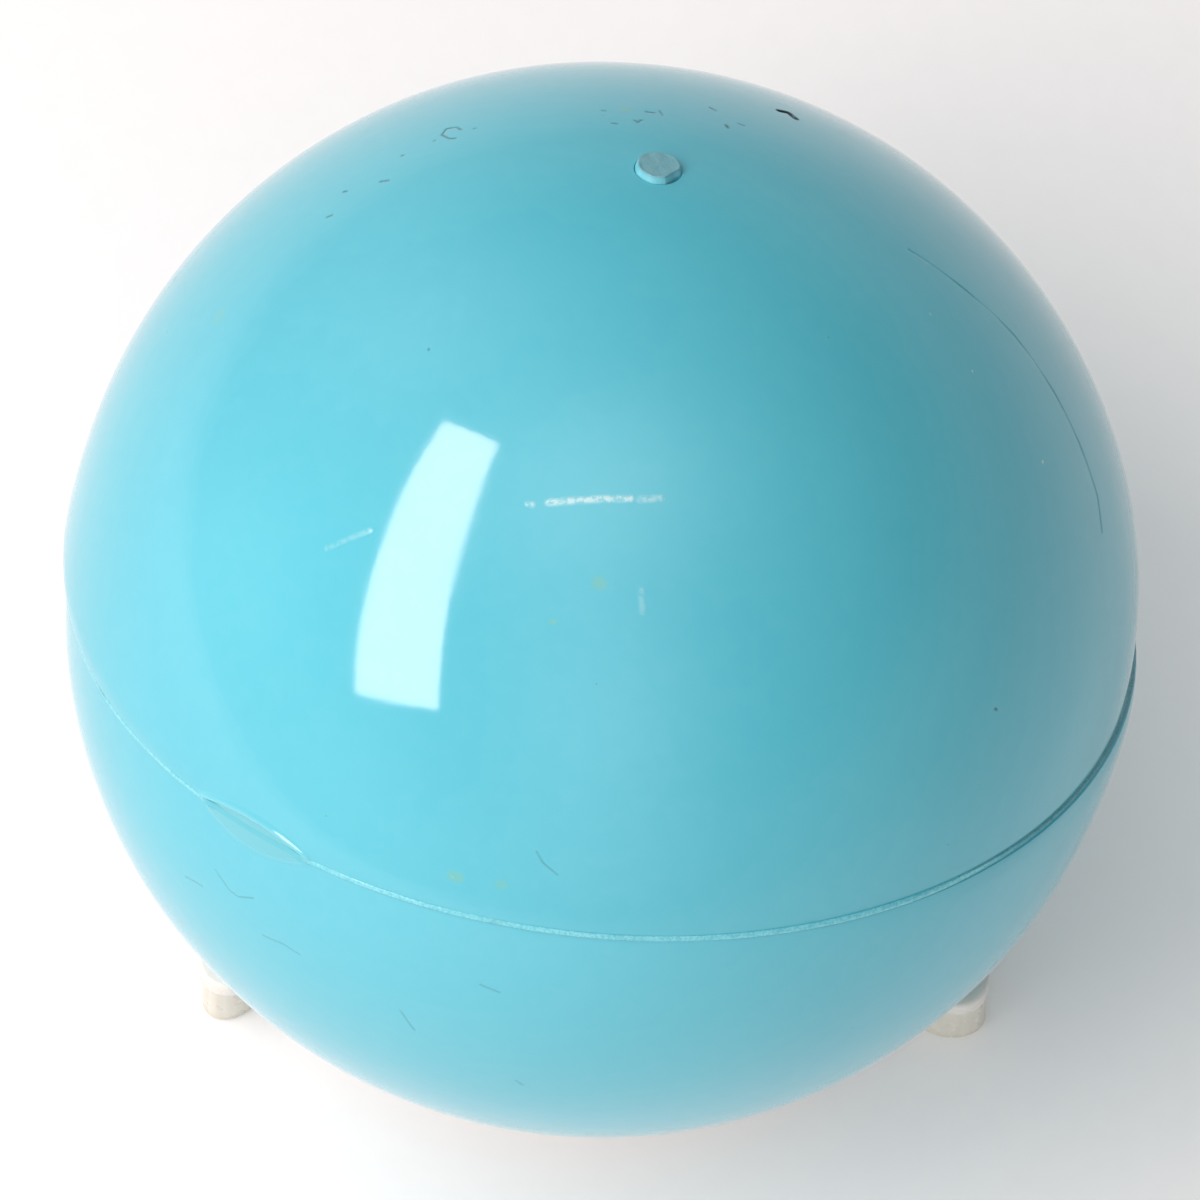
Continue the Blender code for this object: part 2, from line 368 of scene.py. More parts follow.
def arc_rows(start, end, shares):
    """Rows of unit vectors that turn evenly from one ring of directions to another."""
    angle = np.arccos(np.clip(np.sum(start * end, axis=-1), -1.0, 1.0))[:, None]
    rows = [
        (np.sin((1 - s) * angle) * start + np.sin(s * angle) * end) / np.sin(angle)
        for s in shares
    ]
    return np.array(rows)


def surface_shares(start_fine):
    """Shares of the way from the pole to the seam, fine at the seam and, if asked, at the pole."""
    quarter = ball.radius * math.pi / 2
    from_seam = graded(0.05 * MM, 0.55 * MM, quarter / 2, 3.5 * MM)
    from_pole = graded(start_fine, 0.55 * MM, quarter / 2, 3.0 * MM)
    ahead = from_pole / quarter
    behind = 1.0 - from_seam[::-1] / quarter
    return np.concatenate([ahead, behind[1:]])


def stroke_distance(points, path):
    """Distance from each point to the stroke through a mark's angles."""
    nearest = np.full(len(points), np.inf)
    corners = [ball.radius * np.array(aim(*angles)) for angles in path]
    for start, end in zip(corners, corners[1:]):
        along = end - start
        share = np.clip((points - start) @ along / (along @ along), 0.0, 1.0)
        nearest = np.minimum(nearest, np.linalg.norm(points - start - share[:, None] * along, axis=1))
    return nearest


def paint(points):
    """How strongly each kind of mark covers each point, and how deep the marks go there."""
    layers = {}
    depth = np.zeros(len(points))
    for kind, strokes in MARKS.items():
        layer = np.zeros(len(points))
        for path, width, deep, strength in strokes:
            away = stroke_distance(points, path)
            # A gouge is painted dark over most of its width, as painted shade in its walls.
            cut_share, paint_share = (1.0, 0.15) if deep < GOUGE_DEPTH else (0.7, 0.75)
            cut = 1.0 - smoothstep(away, 0.15 * width * MM, cut_share * width * MM)
            cover = 1.0 - smoothstep(away, paint_share * width * MM, width * MM)
            layer = np.maximum(layer, cover * strength)
            depth = depth + cut * deep * MM
        layers[kind] = layer
    return layers, depth


def refine(mesh):
    """Splits the faces under the marks, so that the marks have points of their own."""
    shape = bmesh.new()
    shape.from_mesh(mesh)
    for margin in (0.55, 0.3, 0.15):
        points = np.array([v.co for v in shape.verts])
        near = np.zeros(len(points), bool)
        for strokes in MARKS.values():
            for path, width, _, _ in strokes:
                near |= stroke_distance(points, path) < (width + margin) * MM
        edges = [
            e for e in shape.edges
            if near[e.verts[0].index] and near[e.verts[1].index] and e.calc_length() > FINEST_EDGE
        ]
        bmesh.ops.subdivide_edges(shape, edges=edges, cuts=1, use_grid_fill=True)
        shape.verts.index_update()
    shape.to_mesh(mesh)
    shape.free()


def finish_half(mesh, side):
    """Refines a half, raises its outer surface, paints the marks and puts it in its place."""
    refine(mesh)
    points = np.array([v.co for v in mesh.vertices])
    reach = np.linalg.norm(points, axis=1)
    outer = reach > ball.radius - SURFACE_BAND
    points[outer] *= (ball.radius / reach[outer])[:, None]
    layers, depth = paint(points)
    # The rim's share is kept to paint a highlight on it.
    layers["trimmed"], layers["rim"] = trim_shape(*seam_places(points))
    for kind, layer in layers.items():
        attribute = mesh.attributes.new(kind, "FLOAT", "POINT")
        attribute.data.foreach_set("value", np.where(outer, layer, 0.0).astype(np.float32))
    points = raise_outer(points, side)
    points -= unit(points) * np.where(outer, depth, 0.0)[:, None]
    mesh.vertices.foreach_set("co", (points + ball.centre).astype(np.float32).ravel())
    mesh.update()


def edge_angle(radius):
    """Latitude at which a half's edge meets a sphere of the given radius."""
    return math.asin(EDGE_START / radius)


def edge_rows(angles, side):
    """Rows down a half's edge, through its wall."""
    return [ball.direction(angles, side * edge_angle(r)) * r for r in ball.radius - EDGE_DEPTHS]


def make_upper_half(material):
    """Half above the seam, with the hole for the plug."""
    angles = column_angles()
    inner = ball.radius - WALL
    hole = plug_end_radius() + HOLE_CLEARANCE
    mouth = hole + HOLE_LIP
    top = math.sqrt(ball.radius**2 - hole**2)
    bottom = math.sqrt(inner**2 - hole**2)
    hole_out = unit(ball.about_plug(angles, mouth, math.sqrt(ball.radius**2 - mouth**2)))
    hole_in = unit(ball.about_plug(angles, hole, bottom))
    seam_out = ball.direction(angles, edge_angle(ball.radius))
    seam_in = ball.direction(angles, edge_angle(inner))
    outside = arc_rows(hole_out, seam_out, surface_shares(0.06 * MM))
    inside = arc_rows(seam_in, hole_in, np.linspace(0, 1, INNER_ROWS))
    heights = (bottom + 0.6 * (top - bottom), top - 0.25 * MM, top - HOLE_LIP)
    bore = [ball.about_plug(angles, hole, height) for height in heights]
    rows = np.concatenate([outside * ball.radius, edge_rows(angles, 1), inside * inner, bore])
    mesh = grid_mesh("ball_shell_upper", rows, True)
    finish_half(mesh, 1)
    return new_piece("ball_shell_upper", mesh, "ball", "ball_upper_half", material)


def make_lower_half(material):
    """Half below the seam, closed at its pole."""
    angles = column_angles()
    inner = ball.radius - WALL
    near_pole = ball.direction(angles, -math.pi / 2 + 0.01)
    seam_out = ball.direction(angles, -edge_angle(ball.radius))
    seam_in = ball.direction(angles, -edge_angle(inner))
    outside = arc_rows(near_pole, seam_out, surface_shares(0.4 * MM))
    inside = arc_rows(seam_in, near_pole, np.linspace(0, 1, INNER_ROWS))
    rows = np.concatenate([outside * ball.radius, edge_rows(angles, -1), inside * inner])
    tips = (-ball.up * ball.radius, -ball.up * inner)
    mesh = grid_mesh("ball_shell_lower", rows, False, *tips)
    finish_half(mesh, -1)
    return new_piece("ball_shell_lower", mesh, "ball", "ball_lower_half", material)


def make_seam(material):
    """Joint rubber between the halves: a low crown, cut flush at the trimmed flash and sunk at one side."""
    angles = column_angles()
    width = EDGE_START + SEAM_OVERLAP
    edges = [
        half_height(ball.direction(angles, side * SEAM_EDGE_LATITUDE) * ball.radius, side)
        for side in (1, -1)
    ]
    level = (edges[0] + edges[1]) / 2
    along = turn_from(TRIM_LONGITUDE, angles) * ball.radius
    whole = smoothstep(np.abs(along), 0.75 * TRIM_HALF_LENGTH, TRIM_HALF_LENGTH)
    sunk = smoothstep(np.cos(angles), 0.55, 0.8)
    swell = ripple(ball.direction(angles, 0.0) * ball.radius, 6 * MM, 9)
    proud = (SEAM_CROWN + SEAM_SWELL * swell) * whole * (1 - sunk) - SEAM_SUNK * sunk
    rows = []
    for tilt in np.linspace(math.pi / 2, -math.pi / 2, 9):
        radius = ball.radius + level + proud * math.cos(tilt)
        rows.append(ball.about_seam(angles, radius, width * math.sin(tilt)))
    for share, height in ((0.97, -width), (0.955, -width), (0.955, width), (0.97, width)):
        rows.append(ball.about_seam(angles, ball.radius * share, height))
    mesh = grid_mesh("seam_ridge", np.array(rows) + ball.centre, True)
    trimmed = mesh.attributes.new("trimmed", "FLOAT", "POINT")
    trimmed.data.foreach_set("value", np.tile(1 - whole, len(rows)).astype(np.float32))
    return new_piece("seam_ridge", mesh, "ball", "seam_bead", material)


# Plug


def plug_profile():
    """Each of the plug's CAD points as a height along its axis and a distance from it."""
    points = ball.node_points("valve_plug")
    height = points @ ball.plug
    return height, np.linalg.norm(points - np.outer(height, ball.plug), axis=1)


def plug_end_radius():
    """Radius of the plug's outer end, measured on its CAD node."""
    height, across = plug_profile()
    return float(across[height > ball.radius - WALL / 2].max())


def make_plug(material):
    """The plug: a proud end cut off nearly flat, with a bite out of one side, and a flange inside."""
    height, across = plug_profile()
    radius = plug_end_radius()
    top = float(height.max()) - PLUG_CUT
    bottom = float(height.min())
    flange = float(across.max())
    shoulder = float(height[across > flange - 0.1 * MM].max())
    middle = (shoulder + bottom) / 2
    angles = np.linspace(0, math.tau, 160, endpoint=False)
    reach = np.cos(np.clip(turn_from(PLUG_BITE, angles), -1.2, 1.2))
    bite = np.minimum(1.0, PLUG_BITE_SHARE / np.maximum(reach, 0.3))
    ragged = 1.0 + 0.012 * np.sin(3 * angles + 0.7) + 0.008 * np.sin(7 * angles + 2.0)
    foot = radius * bite * ragged * 0.995
    end = foot - 0.13 * MM
    profile = []
    for share in (0.15, 0.35, 0.55, 0.75, 0.88):
        profile.append((end * share, top - PLUG_DISH + 0.02 * MM * np.sin(5 * angles) * share))
    for inset, drop in ((0.08, 0.0), (0.045, 0.012), (0.018, 0.04), (0.004, 0.09), (0.0, 0.16)):
        profile.append((end - inset * MM, top - drop * MM))
    for drop in (0.25, 0.4, 0.5, 0.8):
        profile.append((end + (foot - end) * min(drop / 0.5, 1.0), top - drop * MM))
    profile += [
        (radius, top - 1.6 * MM),
        (radius, shoulder + 0.2 * MM),
        (radius + 0.2 * MM, shoulder),
        (flange - 0.2 * MM, shoulder),
        (flange, shoulder - 0.2 * MM),
        (flange, middle),
        (flange - 0.1 * MM, middle - 0.1 * MM),
        (flange / 2, bottom + 0.05 * MM),
        (flange / 2 - 0.2 * MM, bottom),
    ]
    rows = np.array([ball.about_plug(angles, *place) for place in profile])
    tips = (ball.centre + ball.plug * (top - PLUG_DISH), ball.centre + ball.plug * bottom)
    mesh = grid_mesh("plug_end", rows + ball.centre, False, *tips)
    height = (np.array([v.co for v in mesh.vertices]) - ball.centre) @ ball.plug
    end_face = mesh.attributes.new("end_face", "FLOAT", "POINT")
    cut = smoothstep(height, top - 0.12 * MM, top - 0.05 * MM)
    end_face.data.foreach_set("value", cut.astype(np.float32))
    return new_piece("plug_end", mesh, "plug", "valve_plug", material)


# Stand


FEET = ("front_left_foot", "front_right_foot", "rear_foot")


def level_ring(angles, reach, height, middle=(0.0, 0.0)):
    """A level ring of points about an upright axis. The reach is one number, or one for each angle."""
    east = middle[0] + reach * np.cos(angles)
    north = middle[1] + reach * np.sin(angles)
    return np.stack([east, north, np.full_like(angles, height)], axis=-1)


def node_vertices(node):
    return np.array([v.co for v in frame["nodes"][node].data.vertices])


def peg_place(node):
    """Middle and radius of a foot's peg, measured at its top."""
    points = node_vertices(node)
    peg = points[points[:, 2] > points[:, 2].max() - 0.3 * MM]
    middle = (peg.max(axis=0) + peg.min(axis=0)) / 2
    return middle, float(np.ptp(peg[:, 0])) / 2


def lobe_places():
    """Distance and bearing of each lobe's middle, which is over its foot's peg."""
    pegs = [peg_place(node)[0] for node in FEET]
    return [(math.hypot(peg[0], peg[1]), math.atan2(peg[1], peg[0])) for peg in pegs]


def ring_outline(angles, inset):
    """Outer radius of the ring at each angle: a circle with three lobes blended into it."""
    points = node_vertices("stand_ring")[:, :2]
    far = np.linalg.norm(points, axis=1)
    bearings = np.arctan2(points[:, 1], points[:, 0])
    lobes = lobe_places()
    plain = np.ones(len(far), bool)
    for _, bearing in lobes:
        plain &= np.abs(turn_from(bearing, bearings)) > LOBE_KEEP_OUT
    outline = np.full_like(angles, float(far[plain].max()) - inset)
    wide = float(far.max()) - lobes[0][0] - inset
    for centre, bearing in lobes:
        off = np.abs(turn_from(bearing, angles))
        aside = centre * np.sin(off)
        side = wide / np.maximum(np.sin(np.minimum(off, 1.5)), 1e-6)
        round_end = centre * np.cos(off) + np.sqrt(np.maximum(wide**2 - aside**2, 0.0))
        lobe = np.where((aside < wide) & (side > centre), round_end, side)
        lobe = np.where(off > 0.5, 0.0, lobe)
        share = np.clip(0.5 + 0.5 * (lobe - outline) / LOBE_FILLET, 0.0, 1.0)
        outline = outline * (1 - share) + lobe * share + LOBE_FILLET * share * (1 - share)
    return outline


def make_ring(material):
    """Flat ring with rounded edges and a seat that follows the ball."""
    low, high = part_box("stand_ring")
    bottom, top = low.z, high.z
    angles = np.linspace(0, math.tau, 720, endpoint=False)
    seat = ball.radius + SEAT_CLEARANCE
    rows = []

    def outer(inset, height):
        rows.append(level_ring(angles, ring_outline(angles, inset), height))

    def inner(height, extra=0.0):
        reach = math.sqrt(seat**2 - (ball.centre[2] - height) ** 2) + extra
        rows.append(level_ring(angles, reach, height))

    round_steps = np.linspace(0, math.pi / 2, 6)
    for step in round_steps:
        outer(RING_ROUNDING * (1 - math.sin(step)), bottom + RING_ROUNDING * (1 - math.cos(step)))
    for step in round_steps:
        outer(RING_ROUNDING * (1 - math.cos(step)), top - RING_ROUNDING * (1 - math.sin(step)))
    for drop, extra in ((0.0, 0.6), (0.0, 0.25), (0.02, 0.12)):
        inner(top - drop * MM, extra * MM)
    for height in np.linspace(top - 0.15 * MM, bottom + 0.15 * MM, 7):
        inner(height)
    for rise, extra in ((0.02, 0.1), (0.0, 0.3), (0.0, 1.2)):
        inner(bottom + rise * MM, extra * MM)
    mesh = grid_mesh("seat_ring", np.array(rows), True)
    piece = new_piece("seat_ring", mesh, "stand", "stand_ring", material)
    cut_peg_holes(piece, bottom, top)
    return piece


def cut_peg_holes(piece, bottom, top):
    """Cuts a hole for each foot's peg through the ring, then applies the cuts."""
    for node in FEET:
        middle, radius = peg_place(node)
        centre = Matrix.Translation((middle[0], middle[1], (bottom + top) / 2))
        reach = radius + PEG_CLEARANCE
        depth = 3 * (top - bottom)
        shape = bmesh.new()
        bmesh.ops.create_cone(
            shape, cap_ends=True, segments=64, radius1=reach, radius2=reach, depth=depth, matrix=centre
        )
        tool_mesh = bpy.data.meshes.new("peg_hole")
        shape.to_mesh(tool_mesh)
        shape.free()
        tool = bpy.data.objects.new("peg_hole", tool_mesh)
        bpy.context.scene.collection.objects.link(tool)
        cut = piece.modifiers.new("cut", "BOOLEAN")
        cut.solver = "EXACT"
        cut.operation = "DIFFERENCE"
        cut.object = tool
        graph = bpy.context.evaluated_depsgraph_get()
        cut_mesh = bpy.data.meshes.new_from_object(piece.evaluated_get(graph))
        piece.modifiers.clear()
        piece.data = cut_mesh
        bpy.data.objects.remove(tool)
    piece.data.set_sharp_from_angle(angle=SHARP_ANGLE)


def foot_oval(node):
    """Middle, half axes and their directions, of a foot's oval base, measured on its CAD node."""
    points = node_vertices(node)
    low = points[points[:, 2] < 1.5 * MM][:, :2]
    middle = (low.max(axis=0) + low.min(axis=0)) / 2
    spread = low - middle
    far = spread[np.argmax(np.linalg.norm(spread, axis=1))]
    long_way = far / np.linalg.norm(far)
    wide_way = np.array([-long_way[1], long_way[0]])
    return middle, np.abs(spread @ long_way).max(), np.abs(spread @ wide_way).max(), long_way, wide_way


def make_foot(node, name, material):
    """Oval post with rounded edges, faint upright flutes and a peg."""
    _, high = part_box(node)
    ring_low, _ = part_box("stand_ring")
    top = ring_low.z - 0.2 * MM
    middle, half_long, half_wide, long_way, wide_way = foot_oval(node)
    peg, peg_radius = peg_place(node)
    turn = math.atan2(long_way[1], long_way[0])
    angles = np.linspace(0, math.tau, 144, endpoint=False)
    flutes = sum(height * np.sin(count * angles + phase) for count, height, phase in FLUTES)
    rows = []

    def oval(share, inset, height, fluted=1.0):
        half_axes = [half * share - inset + flutes * fluted for half in (half_long, half_wide)]
        flat = (
            middle
            + np.outer(half_axes[0] * np.cos(angles), long_way)
            + np.outer(half_axes[1] * np.sin(angles), wide_way)
        )
        rows.append(np.column_stack([flat, np.full_like(angles, height)]))

    steps = np.linspace(0, math.pi / 2, 6)
    oval(0.4, 0.0, 0.0, 0.0)
    for step in steps:
        inset, rise = FOOT_ROUNDING * (1 - math.sin(step)), FOOT_ROUNDING * (1 - math.cos(step))
        oval(1.0, inset, rise, math.sin(step))
    for height in np.linspace(FOOT_ROUNDING, top - FOOT_ROUNDING, 9)[1:]:
        oval(1.0 - FOOT_TAPER * height / top, 0.0, height)
    for step in steps[1:]:
        inset, drop = FOOT_ROUNDING * (1 - math.cos(step)), FOOT_ROUNDING * (1 - math.sin(step))
        oval(1.0 - FOOT_TAPER, inset, top - drop, math.cos(step))
    for extra, height in (
        (0.02 * MM, top + 0.03 * MM),
        (0.0, top + 0.2 * MM),
        (0.0, high.z - 0.15 * MM),
        (-0.05 * MM, high.z - 0.04 * MM),
        (-0.15 * MM, high.z),
    ):
        rows.append(level_ring(angles + turn, peg_radius + extra, height, peg))
    tips = ((middle[0], middle[1], 0.0), (peg[0], peg[1], high.z))
    mesh = grid_mesh(name, np.array(rows), False, *tips)
    return new_piece(name, mesh, "stand", node, material)


# Materials

TRIMMED_COLOUR = (0.125, 0.475, 0.56, 1.0)  # of the rubber where the flash was cut


class Nodes:
    """Short ways to add shader nodes to a material."""

    def __init__(self, name):
        self.material = bpy.data.materials.new(name)
        self.material.use_nodes = True
        self.tree = self.material.node_tree
        self.shader = self.tree.nodes["Principled BSDF"]

    def add(self, kind, inputs=None, **settings):
        node = self.tree.nodes.new("ShaderNode" + kind)
        for key, value in settings.items():
            setattr(node, key, value)
        for key, value in (inputs or {}).items():
            self.put(node.inputs[key], value)
        return node

    def put(self, socket, value):
        if isinstance(value, bpy.types.NodeSocket):
            self.tree.links.new(value, socket)
        else:
            socket.default_value = value

    def math(self, operation, first, second=0.0):
        return self.add("Math", {0: first, 1: second}, operation=operation).outputs[0]

    def place(self):
        return self.add("TexCoord").outputs["Object"]

    def painted(self, name):
        return self.add("Attribute", attribute_name=name).outputs["Fac"]

    def noise(self, vector, size, detail=2.0, roughness=0.5):
        inputs = {"Vector": vector, "Scale": 1.0 / size, "Detail": detail, "Roughness": roughness}
        return self.add("TexNoise", inputs).outputs["Fac"]

    def fade(self, value, low, high, start=0.0, end=1.0):
        inputs = {"Value": value, "From Min": low, "From Max": high, "To Min": start, "To Max": end}
        return self.add("MapRange", inputs, interpolation_type="SMOOTHSTEP").outputs["Result"]

    def mix(self, share, first, second):
        node = self.add("Mix", data_type="RGBA")
        self.put(node.inputs["Factor"], share)
        self.put(node.inputs["A"], first)
        self.put(node.inputs["B"], second)
        return node.outputs["Result"]

    def bump(self, height, distance, strength=1.0):
        inputs = {"Height": height, "Distance": distance, "Strength": strength}
        return self.add("Bump", inputs).outputs["Normal"]


def rubber_material():
    """Glossy turquoise rubber with chalky scuffs, dark specks and hair lines, stains and handling smears,
    painted shade in its crease, pits and gouge, and a painted highlight on the trimmed flash's rim.
    """
    n = Nodes("ball_rubber")
    place = n.place()
    broad = n.noise(place, 22 * MM, 1.0)
    mottle = n.noise(place, 1.3 * MM, 3.0)
    fine = n.noise(place, 0.30 * MM, 2.0)
    smear = n.noise(place, 7 * MM, 3.0)
    colour = n.mix(n.fade(broad, 0.3, 0.7), (0.088, 0.475, 0.590, 1.0), (0.102, 0.505, 0.620, 1.0))
    colour = n.mix(n.fade(mottle, 0.35, 0.75, 0.0, 0.10), colour, (0.16, 0.56, 0.64, 1.0))

    breaks = n.noise(place, 0.45 * MM, 3.0, 0.6)
    chalk = n.math("MULTIPLY", n.painted("chalk"), n.fade(breaks, 0.38, 0.58, 0.25, 1.0))
    soil_and_shade = n.math("MULTIPLY", n.painted("soil_and_shade"), n.fade(breaks, 0.3, 0.5, 0.55, 1.0))
    stain = n.math("MULTIPLY", n.painted("stain"), n.fade(breaks, 0.3, 0.7, 0.5, 1.0))
    speck = specks(n, place, 2.6 * MM, 0.07 * MM, 0.80)
    glint = specks(n, place, 3.4 * MM, 0.06 * MM, 0.86)

    trimmed = n.painted("trimmed")
    colour = n.mix(trimmed, colour, TRIMMED_COLOUR)
    # Painted highlight along the trimmed flash's rounded rim, stronger above the seam.
    colour = n.mix(n.math("MULTIPLY", n.painted("rim"), 0.35), colour, (0.30, 0.66, 0.72, 1.0))
    colour = n.mix(stain, colour, (0.20, 0.47, 0.30, 1.0))
    # Near-black for dirt, hair lines and specks, and painted shade in the crease, pits and gouge.
    dark = n.math("MAXIMUM", soil_and_shade, n.math("MULTIPLY", speck, 0.45))
    colour = n.mix(dark, colour, (0.010, 0.035, 0.045, 1.0))
    colour = n.mix(chalk, colour, (0.58, 0.78, 0.79, 1.0))
    colour = n.mix(n.math("MULTIPLY", glint, 0.5), colour, (0.5, 0.75, 0.8, 1.0))
    n.put(n.shader.inputs["Base Color"], colour)

    rough = n.fade(smear, 0.3, 0.8, 0.055, 0.10)
    flat = n.math("MULTIPLY", trimmed, 0.6)
    worn = n.math("MAXIMUM", n.math("MAXIMUM", chalk, flat), n.math("MAXIMUM", soil_and_shade, stain))
    n.put(n.shader.inputs["Roughness"], n.math("ADD", rough, n.math("MULTIPLY", worn, 0.4)))
    relief = n.math("ADD", n.math("MULTIPLY", fine, 0.06), n.math("MULTIPLY", chalk, breaks))
    n.put(n.shader.inputs["Normal"], n.bump(relief, 0.02 * MM))
    n.shader.inputs["IOR"].default_value = 1.6
    return n.material


def specks(n, place, spacing, radius, rarity):
    """Scattered round specks, from 0 to 1, in the share of cells whose random value passes rarity."""
    cells = n.add("TexVoronoi", {"Vector": place, "Scale": 1.0 / spacing})
    spot = n.fade(cells.outputs["Distance"], radius / spacing, 0.4 * radius / spacing)
    pick = n.add("SeparateColor", {"Color": cells.outputs["Color"]}).outputs["Red"]
    return n.math("MULTIPLY", spot, n.math("GREATER_THAN", pick, rarity))


def seam_material():
    """Seam rubber, paler than the ball's as a painted highlight along its crown, with a fine torn grain and a
    little grime.
    """
    n = Nodes("seam_rubber")
    place = n.place()
    grain = n.noise(place, 0.18 * MM, 3.0, 0.6)
    broad = n.noise(place, 3 * MM, 2.0)
    # Pale colours: a painted highlight along the seam's crown.
    colour = n.mix(n.fade(grain, 0.35, 0.65), (0.12, 0.52, 0.62, 1.0), (0.22, 0.64, 0.72, 1.0))
    colour = n.mix(n.fade(broad, 0.55, 0.8, 0.0, 0.5), colour, (0.06, 0.30, 0.36, 1.0))
    colour = n.mix(n.painted("trimmed"), colour, TRIMMED_COLOUR)
    n.put(n.shader.inputs["Base Color"], colour)
    rough = n.math("MAXIMUM", n.fade(broad, 0.3, 0.7, 0.12, 0.3), n.painted("trimmed"))
    n.put(n.shader.inputs["Roughness"], rough)
    n.put(n.shader.inputs["Normal"], n.bump(grain, 0.02 * MM))
    return n.material


def plug_material():
    """Duller rubber of the plug, with fine knife lines across its end and grime in them."""
    n = Nodes("plug_rubber")
    place = n.place()
    mottle = n.noise(place, 0.5 * MM, 3.0, 0.6)
    wave = {"Vector": place, "Scale": 0.5 / (0.2 * MM), "Distortion": 1.5, "Detail": 2.0}
    cuts = n.add("TexWave", wave, wave_type="BANDS", bands_direction="DIAGONAL").outputs["Fac"]
    end = n.mix(n.fade(mottle, 0.3, 0.7), (0.14, 0.38, 0.45, 1.0), (0.19, 0.43, 0.49, 1.0))
    end = n.mix(n.fade(cuts, 0.8, 1.0, 0.0, 0.1), end, (0.10, 0.30, 0.35, 1.0))
    side = n.mix(n.fade(mottle, 0.3, 0.7), (0.12, 0.50, 0.60, 1.0), (0.18, 0.56, 0.65, 1.0))
    colour = n.mix(n.painted("end_face"), side, end)
    n.put(n.shader.inputs["Base Color"], colour)
    n.put(n.shader.inputs["Roughness"], n.fade(mottle, 0.3, 0.7, 0.4, 0.6))
    relief = n.math("ADD", n.math("MULTIPLY", cuts, 0.12), mottle)
    n.put(n.shader.inputs["Normal"], n.bump(relief, 0.02 * MM))
    return n.material


def moulded_plastic(name, pale, deep, glow):
    """Milky moulded plastic with upright flow lines and cloudy patches, with patchy painted shade, darker and
    yellower, near the floor.
    """
    n = Nodes(name)
    place = n.place()
    upright = n.add("VectorMath", {0: place, 1: (1.0, 1.0, 0.06)}, operation="MULTIPLY").outputs[0]
    flow = n.noise(upright, 0.45 * MM, 3.0, 0.55)
    cloud = n.noise(place, 2.4 * MM, 2.0)
    grain = n.noise(place, 0.12 * MM, 2.0)
    height = n.add("SeparateXYZ", {0: place}).outputs["Z"]
    colour = n.mix(n.fade(flow, 0.3, 0.7), (*pale, 1.0), (*deep, 1.0))
    colour = n.mix(n.fade(cloud, 0.35, 0.75, 0.0, 0.35), colour, (*[0.93 * c for c in pale], 1.0))
    # Painted shade along the bottom edge: patchy, darker and yellower in the lowest millimetre.
    low = n.fade(height, 0.2 * MM, 1.1 * MM, 0.55, 0.0)
    floor_shade = n.math("MULTIPLY", low, n.fade(cloud, 0.2, 0.6, 0.6, 1.0))
    colour = n.mix(floor_shade, colour, (0.60, 0.55, 0.40, 1.0))
    n.put(n.shader.inputs["Base Color"], colour)
    n.put(n.shader.inputs["Roughness"], n.fade(cloud, 0.3, 0.7, 0.22, 0.38))
    relief = n.math("ADD", n.math("MULTIPLY", flow, 0.4), n.math("MULTIPLY", grain, 0.15))
    n.put(n.shader.inputs["Normal"], n.bump(relief, 0.004 * MM))
    n.shader.inputs["Subsurface Weight"].default_value = glow
    n.shader.inputs["Subsurface Radius"].default_value = (1.0, 0.8, 0.6)
    n.shader.inputs["Subsurface Scale"].default_value = 1.5 * MM
    return n.material


# Studio


def make_camera():
    """Camera looking down on the ball, rolled slightly, with the ball filling most of the picture."""
    rise = CAMERA_ELEVATION
    up = Vector((0.0, math.sin(rise), math.cos(rise)))
    right = Vector((1.0, 0.0, 0.0))
    towards = Vector((0.0, math.cos(rise), -math.sin(rise)))
    turn = CAMERA_ROLL
    across = math.cos(turn) * right - math.sin(turn) * up
    above = math.sin(turn) * right + math.cos(turn) * up
    data = bpy.data.cameras.new("camera")
    camera = bpy.data.objects.new("camera", data)
    bpy.context.scene.collection.objects.link(camera)
    distance = ball.radius * CAMERA_DISTANCE
    spot = Vector(ball.centre) - towards * distance
    axes = Matrix((across, above, -towards)).transposed().to_4x4()
    camera.matrix_world = Matrix.Translation(spot) @ axes
    half_angle = math.asin(1.0 / CAMERA_DISTANCE)
    data.sensor_width = 36.0
    data.lens = data.sensor_width / 2 * CAMERA_FILL / math.tan(half_angle)
    data.shift_x, data.shift_y = CAMERA_SHIFT
    data.clip_start = distance * 0.05
    data.clip_end = distance * 20
    bpy.context.scene.camera = camera


# Strip lamp: a tall soft panel up to the left, leaning back from the ball
LAMP_CENTRE = Vector((-0.333, -0.071, 0.471))
LAMP_ACROSS = Vector((0.746, -0.44, 0.50))
LAMP_ALONG = Vector((0.005, 0.794, 0.608))
LAMP_SIZE = (0.166, 0.604)
LAMP_RADIANCE = 8.6
LAMP_COLOUR = (1.0, 0.87, 0.84)

# Broad glows of the studio's walls and ceiling: azimuth and elevation in degrees, and radiance
GLOWS = (
    (0, 90, 1.45),
    (200, 62, 0.5),
    (225, 20, 0.5),
    (270, 20, 0.75),
    (180, 20, 0.35),
    (135, 35, 1.1),
    (270, 48, 1.0),
    (60, 30, 0.1),
)
GLOW_FOCUS = 12.0
HORIZON_GLOW = 0.55
HORIZON_REACH = 0.5  # height of the horizon's glow, as the sine of its elevation

FLOOR_REACH = 3.0  # from the middle to each side
FLOOR_BRIGHT_WAY = (-0.8, -0.6, 0.0)
FLOOR_FAR = (0.08, 0.3)  # distances over which the near floor gives way to the far one
FLOOR_NEAR_GLOW = 0.12
FLOOR_FAR_GLOW = (0.05, 0.28)  # on the dim side and on the bright side


